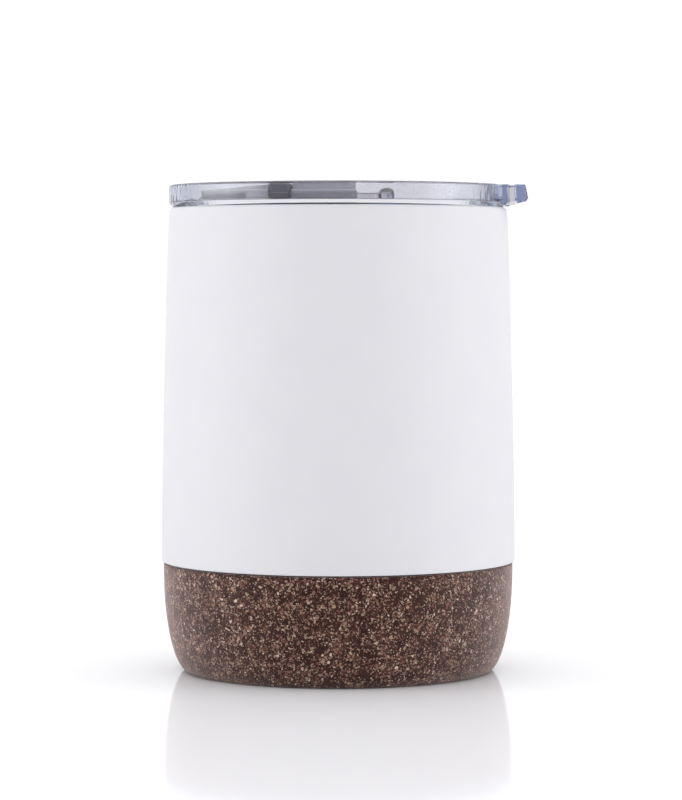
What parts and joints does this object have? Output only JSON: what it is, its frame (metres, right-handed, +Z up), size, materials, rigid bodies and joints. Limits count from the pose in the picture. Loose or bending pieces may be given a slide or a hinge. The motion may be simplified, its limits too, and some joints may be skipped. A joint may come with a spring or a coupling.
{
  "type": "insulated travel cup",
  "caption": "Small double-wall insulated travel cup with a white steel shell, a dark cork base and a clear press-in lid with a thumb tab and a sliding sip closure.",
  "frame": {"origin": "on the cup's axis, at the surface that the cork base stands on", "axes": "+Z up along the cup's axis; +X towards the lid's thumb tab, with the sip opening on the -X side; the lid's slider runs along X"},
  "size_m": [0.0756, 0.0734, 0.1006],
  "materials": {
    "white_powder_coat": "satin",
    "liner_steel": "satin",
    "sheet_steel": "satin",
    "solder_glass": "gloss",
    "nickel_strip": "satin",
    "getter_alloy": "matte",
    "cork_composite": "matte",
    "adhesive": "satin",
    "clear_plastic": "gloss",
    "clear_silicone": "satin",
    "smoky_plastic": "gloss",
    "grey_silicone": "satin",
    "dark_plastic": "satin"
  },
  "bodies": {
    "cup": {"outer_shell": "white_powder_coat", "inner_liner": "liner_steel", "shell_bottom_plate": "sheet_steel", "vacuum_port_seal": "solder_glass", "getter_cup": "nickel_strip", "getter_pellet": "getter_alloy", "cork_base": "cork_composite", "base_adhesive_pad": "adhesive"},
    "gasket": {"lid_gasket": "clear_silicone"},
    "lid": {"lid_body": "clear_plastic"},
    "slider": {"lid_slider": "smoky_plastic", "slider_seal": "grey_silicone", "slider_retainer": "dark_plastic"}
  },
  "joints": [
    {"name": "lid_lift", "type": "slide", "parent": "cup", "child": "gasket", "axis": [0, 0, 1], "range_m": [0, 0.03]},
    {"name": "lid_turn", "type": "hinge", "parent": "gasket", "child": "lid", "pos_m": [0, 0, 0.091], "axis": [0, 0, 1], "continuous": true},
    {"name": "slider_slide", "type": "slide", "parent": "lid", "child": "slider", "axis": [1, 0, 0], "range_m": [0, 0.013]}
  ]
}
